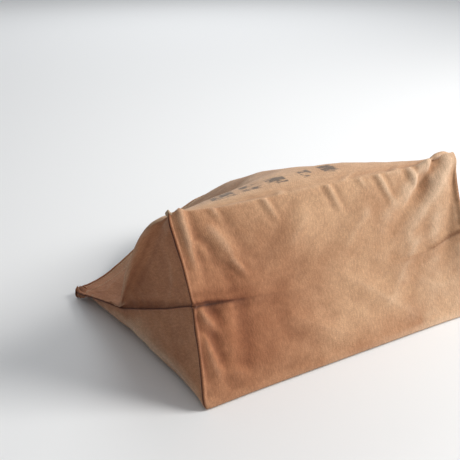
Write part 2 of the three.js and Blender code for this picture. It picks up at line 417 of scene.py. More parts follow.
# The same along the ridges of both ends: across from the middle and round the end, and from the end seam
# towards the mouth.
ridgeCreases = [
    (192, 12, 281, 138, -1.3, 5.0),
    (232, 84, 282, 156, -1.6, 5.0),
]
# The same on the front: across from its middle, and from the upper fold towards the mouth.
frontCreases = [
    (-150, -4, -118, 40, 1.12, 5),
    (-64, -4, -46, 22, 1.12, 4),
    (18, -4, 34, 26, 1.12, 4),
    (98, -4, 84, 30, 1.26, 5),
    (158, -4, 120, 48, 1.68, 7),
    (-110, 60, -30, 84, 1.26, 9),
    (20, 70, 110, 50, 1.26, 10),
    (-180, 120, -90, 150, 1.54, 12),
    (180, 115, 80, 160, 1.54, 12),
    (-40, 120, 30, 190, 1.12, 10),
    (-20, 205, -70, 262, 1.82, 9),
    (45, 200, 80, 262, 1.82, 9),
    (-150, 190, -130, 256, 1.4, 10),
    (150, 195, 135, 256, 1.4, 10),
]


def creaseDepth(x, y, creases):
    total = np.zeros(len(x))
    for fromX, fromY, toX, toY, depth, wide in creases:
        start = np.array([fromX, fromY]) * mm
        run = np.array([toX, toY]) * mm - start
        length = np.hypot(*run)
        along = ((x - start[0]) * run[0] + (y - start[1]) * run[1]) / length**2
        beside = abs((x - start[0]) * run[1] - (y - start[1]) * run[0]) / length / (wide * mm)
        fade = smooth(1 + along * 4) * smooth((1.25 - along) / 0.9)
        profile = lerp(bump(beside, 1), np.exp(-1.6 * beside), 0.5) - 0.4 * bump(beside - 2.1, 0.9)
        total += depth * mm * fade * profile
    return total


def wrinkle(points, size, seed, octaves=3):
    # smooth unevenness with a given wavelength, between about -1 and 1
    offset = Vector((seed * 7.3, seed * 3.1, seed * 5.7))
    return np.array([noise.fractal(Vector(p) / size + offset, 1.0, 2.0, octaves) for p in points])


def foldLines(points, size, seed):
    # soft folded lines, where the unevenness passes through nothing
    return bump(wrinkle(points, size, seed, 2), 0.13)


def clothFields(flat):
    # where each place on the cloth is: its distances from the seams and the folds
    x, y, h = flat.T
    onEnd = abs(x) > halfLength - 1e-6
    onBase = (h < 1e-6) & ~onEnd
    fromSeam = np.minimum(y, cut["depth"] - y)
    fromMiddle = np.where(onEnd, halfLength + fromSeam, abs(x))
    share = h / cut["height"]
    farOff = 1.0   # stands for a distance past any that matters
    return {
        "onEnd": onEnd,
        "onBase": onBase,
        "upper": y > seamY,
        "endSeam": np.where(onEnd, h, np.where(onBase | (h < 1e-6), halfLength - abs(x), farOff)),
        "sideSeam": np.where(onEnd, abs(y - seamY), farOff),
        "fold": np.where(onBase, fromSeam, np.where(onEnd, farOff, h)),
        "ridge": np.where(share < cut["bendShare"], abs(fromMiddle - reachAt(share)), farOff),
        "corner": np.sqrt((halfLength - abs(x)) ** 2 + fromSeam**2 + h**2),
        "tip": np.hypot(halfFlat - fromMiddle, cut["height"] - h),
        "fromMiddle": fromMiddle,
    }


def soften(points, edges, weights, rounds):
    count = np.bincount(edges.ravel(), minlength=len(points))[:, None]
    for _ in range(rounds):
        total = np.zeros_like(points)
        np.add.at(total, edges[:, 0], points[edges[:, 1]])
        np.add.at(total, edges[:, 1], points[edges[:, 0]])
        points = lerp(points, total / count, weights[:, None])
    return points


def softenFolds(mesh):
    # sewn cloth is never sharp: round the folds, the ridges, the four corners and the ends of the mouth
    where = clothFields(getPoints(mesh, "flat"))
    weights = 0.75 * bump(where["fold"], np.where(where["upper"], 4.5, 9) * mm)
    weights = np.maximum(weights, 0.7 * bump(where["ridge"], 6 * mm))
    weights *= 1 - bump(np.minimum(where["endSeam"], where["sideSeam"]), 2.5 * mm)
    weights = np.maximum(weights, 0.85 * bump(where["corner"], 12 * mm))
    weights = np.maximum(weights, 0.6 * bump(where["tip"], 9 * mm))
    setPoints(mesh, soften(getPoints(mesh), getEdges(mesh), weights, 22))


def baseMiddleCrease(x, y):
    # the base was kept folded along its middle: deep at the end seams, faint between them
    share = (x / halfLength + 1) / 2
    heights = np.array([[100], [98.5], [94], [89], [88], [91], [100]]) * mm
    line = curveThrough(heights, share)[..., 0]
    fromEnd = halfLength - abs(x)
    depth = 0.15 + bump(fromEnd, 66 * mm)
    beside = abs(y - line)
    return depth * (np.exp(-beside / (2.6 * mm)) - 0.25 * bump(beside - 9 * mm, 5 * mm))


bulge = {
    "base": 9 * mm,
    "foldDrop": 9 * mm,
    "mouthEnd": 11 * mm,
    "mouthEndReach": 25 * mm,
    "peak": 9 * mm,             # the upper fold stands up in a blunt peak beside the right corner
    "peakAt": 164 * mm,
    "peakReach": 21 * mm,
    "middleCrease": 2.9 * mm,
    "cornerReach": 40 * mm,
    "upperCornerOut": np.array([0.5, 0, -3.5]) * mm,
    "rightCornerBlunt": np.array([-2.5, 0, -3.5]) * mm,
    "lowerCornerOut": np.array([0, 1, 1.5]) * mm,
    "seamRise": 5 * mm,
    "seamPull": 2.5 * mm,
    "foldReach": 45 * mm,
    "endSeamSunk": 1.8 * mm,
    "sideSeamSunk": 2.4 * mm,
    "stitchSunk": 0.35 * mm,
    "pucker": 0.5 * mm,
    "dullFolds": 0.9 * mm,
    "unevenness": 0.2 * mm,
}


def shapeDetails(mesh):
    points, normals, flat = getPoints(mesh), getNormals(mesh), getPoints(mesh, "flat")
    x, y, h = flat.T
    where = clothFields(flat)
    onEnd, onBase, upper = where["onEnd"], where["onBase"], where["upper"]
    onFront = upper & ~onEnd & ~onBase
    out = np.zeros(len(flat))
    # the base swells between its seams, and the upper fold hangs between the corners
    across = abs(x) / halfLength
    out += np.where(onBase, bulge["base"] * (1 - across**5) * np.sin(math.pi * y / cut["depth"]), 0)
    fromFold = np.where(onBase, cut["depth"] - y, h)
    nearFold = np.where(onBase | onFront, bump(fromFold, bulge["foldReach"]), 0)
    shoulder = np.clip(across / 0.9, 0, 1)
    sink = bulge["foldDrop"] * (shoulder**2 - shoulder**6) * nearFold
    # sunk seams, with the cloth standing a little proud beside them
    out -= bulge["endSeamSunk"] * bump(where["endSeam"], 1.2 * mm)
    out += 0.3 * mm * bump(where["endSeam"] - 5 * mm, 3 * mm)
    out -= bulge["sideSeamSunk"] * bump(where["sideSeam"], 1.3 * mm)
    overhang = np.where(upper, 1.6, 0.5) * smooth(h / (60 * mm))
    out += overhang * mm * bump(where["sideSeam"] - 6 * mm, 5 * mm)
    # the turned hem fills the ends of the mouth
    offSeam = smooth(where["sideSeam"] / (5 * mm))
    out += bulge["mouthEnd"] * bump(where["tip"], bulge["mouthEndReach"]) * offSeam
    # the two rows of sewing press into the hem
    for row in hem["stitchRows"]:
        out -= bulge["stitchSunk"] * bump(cut["height"] - h - row, 2 * mm)
    middleCrease = bulge["middleCrease"] * baseMiddleCrease(x, y)
    out -= np.where(onBase, middleCrease + creaseDepth(x, y, baseCreases), 0)
    out -= np.where(onFront, creaseDepth(x, h, frontCreases), 0)
    ridges = creaseDepth(where["fromMiddle"], h, ridgeCreases)
    out -= ridges * np.where(onBase, 0, np.where(upper, 1, 0.6))
    # gathers along the seams
    for seam, place, tall in (("endSeam", y, 0.18), ("sideSeam", h, 0.22)):
        gather = np.sin(place / (2.9 * mm) + 3.6 * np.sin(place / (17 * mm)))
        reach = bump(where[seam] - 6 * mm, 6 * mm) * (where[seam] < 40 * mm)
        out += tall * mm * gather * reach
    nearMouth = smooth((h - 0.5 * cut["height"]) / (30 * mm))
    pucker = np.sin((h + 0.6 * where["sideSeam"]) / (2.3 * mm))
    pucker *= bump(where["sideSeam"] - 12 * mm, 11 * mm) * nearMouth
    out += np.where(onEnd & upper, bulge["pucker"] * pucker, 0)
    # dull folds and general unevenness
    out += bulge["dullFolds"] * wrinkle(flat, 52 * mm, 3)
    out += bulge["unevenness"] * wrinkle(flat, 12 * mm, 5)
    out -= np.where(onEnd, 0.7, 0.3) * mm * foldLines(flat, 75 * mm, 11)
    quiet = smooth((points[:, 2] - 2 * mm) / (12 * mm))
    moved = points + normals * (out * quiet)[:, None]
    moved[:, 2] += bulge["peak"] * bump(x - bulge["peakAt"], bulge["peakReach"]) * nearFold - sink
    # the folded seam inside fills the corners, so each keeps its place, and the seam between them is drawn up
    for side in (-1, 1):
        for spot, corner, out in (
            (cut["depth"], upperCorner, bulge["upperCornerOut"]), (0, lowerCorner, bulge["lowerCornerOut"])
        ):
            at = np.argmin(np.linalg.norm(flat - (side * halfLength, spot, 0), axis=1))
            target = (corner + out) * (side, 1, 1) + origin
            if side > 0 and spot > 0:
                target += bulge["rightCornerBlunt"]
            near = bump(np.linalg.norm(flat - flat[at], axis=1), bulge["cornerReach"])
            moved += (target - moved[at]) * near[:, None]
        near = bump(np.linalg.norm(flat - (side * halfLength, seamY, 0), axis=1), bulge["cornerReach"])
        moved += np.array([side * bulge["seamPull"], 0, bulge["seamRise"]]) * near[:, None]
    setPoints(mesh, moved)


def refineCloth(made):
    subdivide = made.modifiers.new("finer", "SUBSURF")
    subdivide.levels = subdivide.render_levels = 1
    subdivide.boundary_smooth = "PRESERVE_CORNERS"
    mesh = applyModifiers(made)
    softenFolds(mesh)
    shapeDetails(mesh)


refineCloth(canvas)


print("turning the mouth edge in")
def turnMouthEdge(mesh):
    # the canvas rolls over at the mouth, ready to meet the hem inside
    bm = bmesh.new()
    bm.from_mesh(mesh)
    flat = bm.verts.layers.float_vector["flat"]
    forwards = bm.verts.layers.float_vector.new("forwards")
    inwards = bm.verts.layers.float_vector.new("inwards")
    edges = [e for e in bm.edges if e.is_boundary]
    for vert in {v for e in edges for v in e.verts}:
        below = min((e.other_vert(vert) for e in vert.link_edges), key=lambda v: v[flat].z)
        ahead = (vert.co - below.co).normalized()
        vert[forwards] = ahead
        vert[inwards] = -(vert.normal - ahead * vert.normal.dot(ahead)).normalized()
    radius = hem["layerGap"] / 2
    for step in range(1, hem["turnSteps"] + 1):
        before, after = [math.pi * k / hem["turnSteps"] for k in (step - 1, step)]
        ahead = radius * (math.sin(after) - math.sin(before))
        aside = radius * (math.cos(before) - math.cos(after))
        made = bmesh.ops.extrude_edge_only(bm, edges=edges)["geom"]
        for vert in [g for g in made if isinstance(g, bmesh.types.BMVert)]:
            vert.co += Vector(vert[forwards]) * ahead + Vector(vert[inwards]) * aside
            vert[flat].z += radius * math.pi / hem["turnSteps"]
        edges = [g for g in made if isinstance(g, bmesh.types.BMEdge)]
    bmesh.ops.recalc_face_normals(bm, faces=bm.faces)
    bm.to_mesh(mesh)
    bm.free()


def layCutUv(mesh):
    # the cloth's own flat plan: across the sack, and along it from one mouth edge to the other
    uv = mesh.uv_layers.new(name="cut")
    flat = getPoints(mesh, "flat")
    loops = np.empty(len(mesh.loops), np.int32)
    mesh.loops.foreach_get("vertex_index", loops)
    faceOf = np.repeat(np.arange(len(mesh.polygons)), 4)
    corners = flat[loops]
    centre = corners.reshape(-1, 4, 3).mean(axis=1)[faceOf]
    x, y, h = corners.T
    upper = centre[:, 1] > seamY
    onEnd = abs(centre[:, 0]) > halfLength - 1e-5
    onBase = centre[:, 2] < 1e-5
    aroundEnd = np.sign(centre[:, 0]) * (halfLength + np.where(upper, cut["depth"] - y, y))
    across = np.where(onEnd, aroundEnd, x)
    along = np.where(onBase, y - seamY, np.where(upper, 1, -1) * (seamY + h))
    uv.data.foreach_set("uv", columns(0.5 + across, 0.5 + along).astype(np.float32).ravel())


# dirt, with painted light and shade: the base paler towards its right and darker at its left, and the ends
# and the flap beside them darker
dirtAndPaintedLight = {
    "leftDirtAndShade": (-115 * mm, 66 * mm),   # middle of the darkest place of the base: dirt, with painted shade of the light falling off towards the left
    "leftDirtAndShadeReach": 85 * mm,
    # painted light: the base paler towards its right end
    "paintedLightOnRight": 0.19,
    # painted shade: the ends and the flap beside them darker and redder
    "upperEndShade": 1.0,
    "lowerEndShade": 0.85,
    "flapPaintedShade": 0.9,
    # share of the dirt and painted shade kept at the lit right end
    "litRightEndShare": 0.45,
}


def addWearAndPaintedLight(mesh):
    # rubbed pale on the ridges, with a painted highlight there; painted shade in the hollows and creases;
    # dark with dust in the seams
    points, normals = getPoints(mesh), getNormals(mesh)
    flat = getPoints(mesh, "flat")
    x, y, h = flat.T
    where = clothFields(flat)
    edges = getEdges(mesh)
    everywhere = np.ones(len(points))
    # bulging cloth is made paler, as rubbing and as painted highlight, and sunken cloth darker, as painted
    # shade
    near = np.einsum("ij,ij->i", points - soften(points, edges, everywhere, 8), normals)
    wide = np.einsum("ij,ij->i", points - soften(points, edges, everywhere, 40), normals)
    wearAndPaintedLight = 0.5 + 0.1 * np.tanh(near / (0.5 * mm)) + 0.13 * np.tanh(wide / (2.2 * mm))
    # painted light: the base is made paler towards its right end, which is nearer the lamp
    wearAndPaintedLight += dirtAndPaintedLight["paintedLightOnRight"] * smooth(x / (150 * mm)) * where["onBase"]
    wearAndPaintedLight -= 0.07 * bump(where["endSeam"], 10 * mm) * ~where["onEnd"]
    # painted shade in the middle crease of the base
    crease = np.where(where["onBase"], baseMiddleCrease(x, y), 0)
    wearAndPaintedLight = lerp(wearAndPaintedLight, 0.1, np.clip(1.15 * crease, 0, 0.82))
    # painted highlight along the raised folds at the ridges
    ridges = -creaseDepth(where["fromMiddle"], h, ridgeCreases) / mm * ~where["onBase"]
    wearAndPaintedLight += 0.2 * np.clip(ridges, 0, 1.2)
    beside = np.where(where["onEnd"], where["endSeam"], -where["endSeam"])
    seams = np.maximum(bump(beside - 0.7 * mm, 1.25 * mm), bump(where["sideSeam"], 1.1 * mm))
    wearAndPaintedLight = lerp(wearAndPaintedLight, 0.04, seams)
    # the base is darker at its left and near its end seams, dirt with painted shade of the light falling off
    # towards the left, and darker along its lower fold; the ends and the flap beside them get painted shade,
    # less at the lit right end
    leftDirtAndShade = np.hypot(x - dirtAndPaintedLight["leftDirtAndShade"][0], 0.9 * (y - dirtAndPaintedLight["leftDirtAndShade"][1]))
    wearAndPaintedLight -= 0.15 * bump(leftDirtAndShade, 80 * mm) * where["onBase"]
    dirtAndPaintedShade = bump(leftDirtAndShade, dirtAndPaintedLight["leftDirtAndShadeReach"]) + 0.3 * bump(where["endSeam"], 40 * mm)
    dirtAndPaintedShade = np.maximum(dirtAndPaintedShade, 0.4 * smooth(1 - y / (60 * mm)) * (x < 100 * mm))
    # painted shade on the flap beside each end
    flapPaintedShade = dirtAndPaintedLight["flapPaintedShade"] * bump(halfLength - abs(x), 45 * mm) * smooth((h - 90 * mm) / (80 * mm))
    dirtAndPaintedShade = np.where(where["onBase"], dirtAndPaintedShade, flapPaintedShade)
    # painted shade: the ends darker and redder
    onEnd = np.where(where["upper"], dirtAndPaintedLight["upperEndShade"], dirtAndPaintedLight["lowerEndShade"])
    dirtAndPaintedShade = np.where(where["onEnd"], onEnd, dirtAndPaintedShade)
    # less of the dirt and painted shade at the lit right end
    dirtAndPaintedShade *= 1 - (1 - dirtAndPaintedLight["litRightEndShare"]) * smooth((x - 100 * mm) / (60 * mm))
    for name, values in (("wearAndPaintedLight", wearAndPaintedLight), ("dirtAndPaintedShade", dirtAndPaintedShade)):
        kept = mesh.attributes.new(name, "FLOAT", "POINT")
        kept.data.foreach_set("value", np.clip(values, 0, 1).astype(np.float32))


turnMouthEdge(canvas.data)
layCutUv(canvas.data)
addWearAndPaintedLight(canvas.data)


def clothFinder(mesh):
    # gives the place and the outward direction of any spot of the cut on the finished cloth
    points, normals = getPoints(mesh), getNormals(mesh)
    flat = [Vector(p) for p in getPoints(mesh, "flat")]
    faces = [list(p.vertices) for p in mesh.polygons]
    tree = BVHTree.FromPolygons(flat, faces)

    def find(spot):
        near, _, index, _ = tree.find_nearest(Vector(spot))
        corners = faces[index]
        shares = np.array(poly_3d_calc([flat[i] for i in corners], near))[:, None]
        point = Vector((points[corners] * shares).sum(axis=0))
        return point, Vector((normals[corners] * shares).sum(axis=0)).normalized()

    return find


onCloth = clothFinder(canvas.data)


def lipSpot(lip, across, fromMouth):
    # a spot near the mouth, across from the middle of the front or the back, in the cut's own places
    side = 1 if across > 0 else -1
    past = max(0, abs(across) - halfLength)
    inside = side * min(abs(across), halfLength)
    return (inside, cut["depth"] - past if lip == "front" else past, cut["height"] - fromMouth)


eyelet = {
    "bore": 8 * mm,
    "barrel": 8.7 * mm,
    "flange": 13.4 * mm,
    "metal": 0.9 * mm,
    "crown": 1.5 * mm,
    "fromMouth": 16 * mm,
    "cutAway": 10.6 * mm,
    "across": {"front": 70.3 * mm, "back": 107.6 * mm},
    "facets": 48,
}


def eyeletSpots(lip):
    return [lipSpot(lip, n * eyelet["across"][lip], eyelet["fromMouth"]) for n in (-1, 0, 1)]


def cutEyeletHoles(mesh):
    bm = bmesh.new()
    bm.from_mesh(mesh)
    flat = bm.verts.layers.float_vector["flat"]
    spots = [Vector(s) for lip in ("front", "back") for s in eyeletSpots(lip)]
    gone = []
    for face in bm.faces:
        centre = sum((Vector(v[flat]) for v in face.verts), Vector()) / len(face.verts)
        if centre.z < cut["height"] and any((centre - s).length < eyelet["cutAway"] for s in spots):
            gone.append(face)
    bmesh.ops.delete(bm, geom=gone, context="FACES")
    bm.to_mesh(mesh)
    bm.free()


def makeHemBand(lip, source):
    # the turned layer inside, cut from the same cloth and laid under it
    name = lip + "_hem_band"
    mesh = source.copy()
    points, normals, flat = getPoints(mesh), getNormals(mesh), getPoints(mesh, "flat")
    setPoints(mesh, points - normals * hem["layerGap"])
    where = clothFields(flat)
    inBand = (flat[:, 2] > cut["height"] - hem["width"] - 1 * mm) & (flat[:, 2] < cut["height"] + 1e-5)
    inBand &= where["upper"] == (lip == "front")
    inBand &= where["fromMiddle"] < halfFlat - hem["seamClearance"]
    bm = bmesh.new()
    bm.from_mesh(mesh)
    bm.verts.ensure_lookup_table()
    gone = [v for v, kept in zip(bm.verts, inBand) if not kept]
    bmesh.ops.delete(bm, geom=gone, context="VERTS")
    bm.to_mesh(mesh)
    bm.free()
    return addObject(name, mesh)


def thicken(made, thickness):
    wall = made.modifiers.new("wall", "SOLIDIFY")
    wall.thickness = thickness
    wall.offset = 0
    wall.use_quality_normals = True
    applyModifiers(made)


cutEyeletHoles(canvas.data)
hemBands = {lip: makeHemBand(lip, canvas.data) for lip in ("front", "back")}
thicken(canvas, cut["clothThickness"])
for band in hemBands.values():
    thicken(band, cut["clothThickness"])


def addNode(material, kind, inputs=None, **settings):
    node = material.node_tree.nodes.new(kind)
    for key, value in settings.items():
        setattr(node, key, value)
    for key, value in (inputs or {}).items():
        socket = node.inputs[key]
        if isinstance(value, bpy.types.NodeSocket):
            material.node_tree.links.new(value, socket)
        else:
            socket.default_value = value
    return node


def mathNode(material, operation, a, b=0.5):
    return addNode(material, "ShaderNodeMath", {0: a, 1: b}, operation=operation).outputs[0]


def mixColour(material, factor, a, b, blend="MIX"):
    inputs = {0: factor, 6: a, 7: b}
    return addNode(material, "ShaderNodeMix", inputs, data_type="RGBA", blend_type=blend).outputs[2]


def ramp(material, value, low, high):
    inputs = {"Value": value, "From Min": low, "From Max": high}
    return addNode(material, "ShaderNodeMapRange", inputs, interpolation_type="SMOOTHSTEP").outputs["Result"]


def noiseNode(material, coordinates, scale, detail=2.0, roughness=0.5):
    inputs = {"Vector": coordinates, "Scale": scale, "Detail": detail, "Roughness": roughness}
    return addNode(material, "ShaderNodeTexNoise", inputs).outputs["Fac"]


def newMaterial(name):
    material = bpy.data.materials.new(name)
    material.use_nodes = True
    return material, material.node_tree.nodes["Principled BSDF"]


print("canvas material")
canvasLook = {
    "light": (0.64, 0.395, 0.232, 1),
    "dark": (0.41, 0.208, 0.106, 1),
    # pale rubbed cloth, also used as painted highlight
    "rubbedAndHighlight": (0.76, 0.55, 0.38, 1),
    # darker and redder: dirt, and painted shade on the ends and the flap
    "dirtAndPaintedShade": (0.80, 0.60, 0.52, 1),
    # dust in the hollows, also used as painted shade
    "grimeAndShade": (0.36, 0.23, 0.16, 1),
    # dirt in the seams, also painted shade in the middle crease
    "seamDirtAndCreaseShade": (0.30, 0.24, 0.20, 1),
    "twillPitch": 1.7 * mm,
    "twillAngle": math.radians(28),
    "ink": (0.075, 0.07, 0.062, 1),
}
# worn blocks of stencil ink on the front: across from the middle, and from the upper fold, in mm
inkBlocks = [
    (-96, -72, 34, 64),
    (-67, -48, 36, 66),
    (-44, -25, 36, 66),
    (-13, 0, 36, 64),
    (8, 24, 36, 66),
]


def inkMask(material, uv):
    axes = addNode(material, "ShaderNodeSeparateXYZ", {0: uv})
    across, along = axes.outputs[0], axes.outputs[1]
    ragged = noiseNode(material, uv, 190.0, 3.0)
    total = None
    for left, right, low, high in inkBlocks:
        inside = None
        for value, centre, half in (
            (across, 0.5 + (left + right) / 2 * mm, (right - left) / 2 * mm),
            (along, 0.5 + seamY + (low + high) / 2 * mm, (high - low) / 2 * mm),
        ):
            off = mathNode(material, "ABSOLUTE", mathNode(material, "SUBTRACT", value, centre))
            part = ramp(material, off, half, half - 2 * mm)
            inside = part if inside is None else mathNode(material, "MULTIPLY", inside, part)
        total = inside if total is None else mathNode(material, "MAXIMUM", total, inside)
    patchy = noiseNode(material, uv, 45.0, 4.0)
    worn = ramp(material, mathNode(material, "ADD", ragged, patchy), 0.86, 1.12)
    return mathNode(material, "MULTIPLY", mathNode(material, "MULTIPLY", total, worn), 0.8)


def weaveGrain(material, uv):
    # twill lines, single threads and thicker slubs that run along the cloth
    slant = {"Vector": uv, "Rotation": (0, 0, canvasLook["twillAngle"])}
    turned = addNode(material, "ShaderNodeMapping", slant)
    scale = math.tau / 20 / canvasLook["twillPitch"]
    inputs = {"Vector": turned.outputs[0], "Scale": scale, "Distortion": 2.2}
    inputs |= {"Detail": 2.0, "Detail Scale": 2.5}
    twill = addNode(material, "ShaderNodeTexWave", inputs, wave_profile="SIN").outputs["Fac"]
    thread = noiseNode(material, uv, 820.0, 2.0)
    inputs = {"Vector": uv, "Rotation": (0, 0, math.radians(-9)), "Scale": (430, 170, 1)}
    stretched = addNode(material, "ShaderNodeMapping", inputs)
    slub = noiseNode(material, stretched.outputs[0], 1.0, 3.0, 0.6)
    total = mathNode(material, "MULTIPLY", twill, 0.09)
    total = mathNode(material, "ADD", total, mathNode(material, "MULTIPLY", thread, 0.45))
    return mathNode(material, "ADD", total, mathNode(material, "MULTIPLY", slub, 0.55))


def canvasMaterial(name, inked):
    material, shader = newMaterial(name)
    uv = addNode(material, "ShaderNodeUVMap", uv_map="cut").outputs[0]
    wearAndPaintedLight = addNode(material, "ShaderNodeAttribute", attribute_name="wearAndPaintedLight").outputs["Fac"]
    dirtAndPaintedShade = addNode(material, "ShaderNodeAttribute", attribute_name="dirtAndPaintedShade").outputs["Fac"]
    patch = ramp(material, noiseNode(material, uv, 7.0, 4.0, 0.55), 0.3, 0.7)
    cloud = ramp(material, noiseNode(material, uv, 24.0, 6.0, 0.6), 0.3, 0.72)
    tone = mathNode(material, "MULTIPLY", patch, 0.6)
    tone = mathNode(material, "ADD", tone, mathNode(material, "MULTIPLY", cloud, 0.4))
    colour = mixColour(material, tone, canvasLook["dark"], canvasLook["light"])
    # dirt, and painted shade on the ends and the flap
    colour = mixColour(material, dirtAndPaintedShade, colour, canvasLook["dirtAndPaintedShade"], "MULTIPLY")
    # rubbed pale, with painted highlight on the ridges and paler towards the right
    rubbedAndHighlight = mathNode(material, "MULTIPLY", ramp(material, wearAndPaintedLight, 0.5, 1.0), 0.8)
    colour = mixColour(material, rubbedAndHighlight, colour, canvasLook["rubbedAndHighlight"])
    # painted shade in the hollows and creases, with dust and seam dirt
    grimyAndShaded, inSeamAndCrease = ramp(material, wearAndPaintedLight, 0.52, 0.0), ramp(material, wearAndPaintedLight, 0.22, 0.0)
    colour = mixColour(material, grimyAndShaded, colour, canvasLook["grimeAndShade"], "MULTIPLY")
    colour = mixColour(material, inSeamAndCrease, colour, canvasLook["seamDirtAndCreaseShade"], "MULTIPLY")
    if inked:
        colour = mixColour(material, inkMask(material, uv), colour, canvasLook["ink"])
    grain = weaveGrain(material, uv)
    shade = ramp(material, grain, 0.38, 0.82)
    bright = mathNode(material, "ADD", mathNode(material, "MULTIPLY", shade, 0.42), 0.79)
    inputs = {0: colour, "Scale": bright}
    scaled = addNode(material, "ShaderNodeVectorMath", inputs, operation="SCALE").outputs[0]
    rough = mathNode(material, "ADD", mathNode(material, "MULTIPLY", shade, -0.1), 0.98)
    fine = addNode(material, "ShaderNodeBump", {"Height": grain, "Strength": 0.6, "Distance": 0.6 * mm})
    crumple = noiseNode(material, uv, 70.0, 3.0, 0.55)
    soft = addNode(
        material, "ShaderNodeBump",
        {"Height": crumple, "Strength": 0.5, "Distance": 1.6 * mm, "Normal": fine.outputs[0]},
    )
    links = material.node_tree.links
    links.new(scaled, shader.inputs["Base Color"])
    links.new(rough, shader.inputs["Roughness"])
    links.new(soft.outputs[0], shader.inputs["Normal"])
    shader.inputs["Sheen Weight"].default_value = 0.1
    shader.inputs["Sheen Roughness"].default_value = 0.6
    shader.inputs["Specular IOR Level"].default_value = 0.2
    return material


def joinLip(made, lip):
    if lip == "front":
        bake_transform(made)
    else:
        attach(made, "sack")


finish(canvas, canvasMaterial("wornCanvas", True))
joinLip(canvas, "front")
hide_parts("base_panel", "front_panel", "back_panel", "left_end_upper", "left_end_lower")
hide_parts("right_end_upper", "right_end_lower")

hemCanvas = canvasMaterial("hemCanvas", False)
for lip, band in hemBands.items():
    finish(band, hemCanvas)
    joinLip(band, lip)
    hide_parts(lip + "_hem")


print("sewing thread")
threadLook = {"light": (0.60, 0.47, 0.32, 1), "dark": (0.36, 0.25, 0.16, 1)}


def threadMaterial():
    material, shader = newMaterial("sewingThread")
    place = addNode(material, "ShaderNodeTexCoord").outputs["Object"]
    dirt = ramp(material, noiseNode(material, place, 60.0, 3.0), 0.35, 0.65)
    twist = addNode(material, "ShaderNodeTexWave", {"Vector": place, "Scale": 900.0, "Distortion": 2.0})
    colour = mixColour(material, dirt, threadLook["dark"], threadLook["light"])
    relief = addNode(
        material, "ShaderNodeBump", {"Height": twist.outputs["Fac"], "Strength": 0.5, "Distance": 0.1 * mm}
    )
    material.node_tree.links.new(colour, shader.inputs["Base Color"])
    material.node_tree.links.new(relief.outputs[0], shader.inputs["Normal"])
    shader.inputs["Roughness"].default_value = 0.8
    shader.inputs["Sheen Weight"].default_value = 0.2
    return material


def addStitch(bm, start, end, normal):
    # one short length of thread lying on the cloth, its ends pulled down into it
    ahead = (end - start).normalized()
    across = normal.cross(ahead).normalized()
    middle = (start + end) / 2 + normal * (cut["clothThickness"] / 2 + hem["threadRadius"] * 0.35)
    turn = Matrix((across, normal, ahead)).transposed().to_4x4()
    size = (hem["threadRadius"], hem["threadRadius"], (end - start).length / 2)
    matrix = Matrix.Translation(middle) @ turn @ Matrix.Diagonal((*size, 1))
    bmesh.ops.create_uvsphere(bm, u_segments=6, v_segments=4, radius=1, matrix=matrix)


def makeHemStitches(lip, material):
    bm = bmesh.new()
    spots = [Vector(s) for s in eyeletSpots(lip)]
    reach = halfFlat - hem["seamClearance"]
    count = int(2 * reach / hem["stitchPitch"])
    for row in hem["stitchRows"]:
        for number in range(count):
            across = -reach + (number + 0.5) * hem["stitchPitch"]
            half = hem["stitchLength"] / 2
            places = [lipSpot(lip, across + shift, row) for shift in (-half, half)]
            if min((Vector(p) - s).length for p in places for s in spots) > eyelet["flange"] + 0.5 * mm:
                (start, normal), (end, _) = onCloth(places[0]), onCloth(places[1])
                addStitch(bm, start, end, normal)
    name = lip + "_hem_stitches"
    made = addObject(name, meshFrom(bm, name))
    finish(made, material)
    joinLip(made, lip)


def makeBarTack(side, material):
    # close stitches across the side seam hold the end of the mouth
    bm = bmesh.new()
    for number in range(9):
        fromMouth = (4 + number * 0.95) * mm
        ends = []
        for lip in ("front", "back"):
            ends.append(onCloth(lipSpot(lip, side * (halfFlat - 3.2 * mm), fromMouth)))
        (start, upNormal), (end, downNormal) = ends
        seam, seamNormal = onCloth(lipSpot("front", side * halfFlat, fromMouth))
        rise = cut["clothThickness"] / 2 * seamNormal
        addStitch(bm, start, seam + rise, (upNormal + seamNormal).normalized())
        addStitch(bm, seam + rise, end, (downNormal + seamNormal).normalized())
    name = ("left" if side < 0 else "right") + "_bar_tack"
    made = addObject(name, meshFrom(bm, name))
    finish(made, material)
    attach(made, "sack")


thread = threadMaterial()
for lip in ("front", "back"):
    makeHemStitches(lip, thread)
for side in (-1, 1):
    makeBarTack(side, thread)


print("seam tapes inside")
tape = {
    "width": 9 * mm,
    "thickness": 1.5 * mm,
    "clearance": 1.0 * mm,
    "wave": 0.6 * mm,
    "step": 5 * mm,
    "fromCorner": 6 * mm,
    "fromEndSeam": 8 * mm,
    "belowHem": 14 * mm,
    "light": (0.50, 0.36, 0.235, 1),
    "dark": (0.36, 0.235, 0.145, 1),
}


def tapeMaterial():
    material, shader = newMaterial("seamTape")
    uv = addNode(material, "ShaderNodeUVMap", uv_map="tape").outputs[0]
    herringbone = addNode(material, "ShaderNodeTexWave", {"Vector": uv, "Scale": 260.0, "Distortion": 3.0})
    dust = ramp(material, noiseNode(material, uv, 40.0, 4.0), 0.3, 0.7)
    colour = mixColour(material, dust, tape["dark"], tape["light"])
    inputs = {"Height": herringbone.outputs["Fac"], "Strength": 0.6, "Distance": 0.3 * mm}
    relief = addNode(material, "ShaderNodeBump", inputs)
    material.node_tree.links.new(colour, shader.inputs["Base Color"])
    material.node_tree.links.new(relief.outputs[0], shader.inputs["Normal"])
    shader.inputs["Roughness"].default_value = 0.92
    shader.inputs["Sheen Weight"].default_value = 0.2
    return material


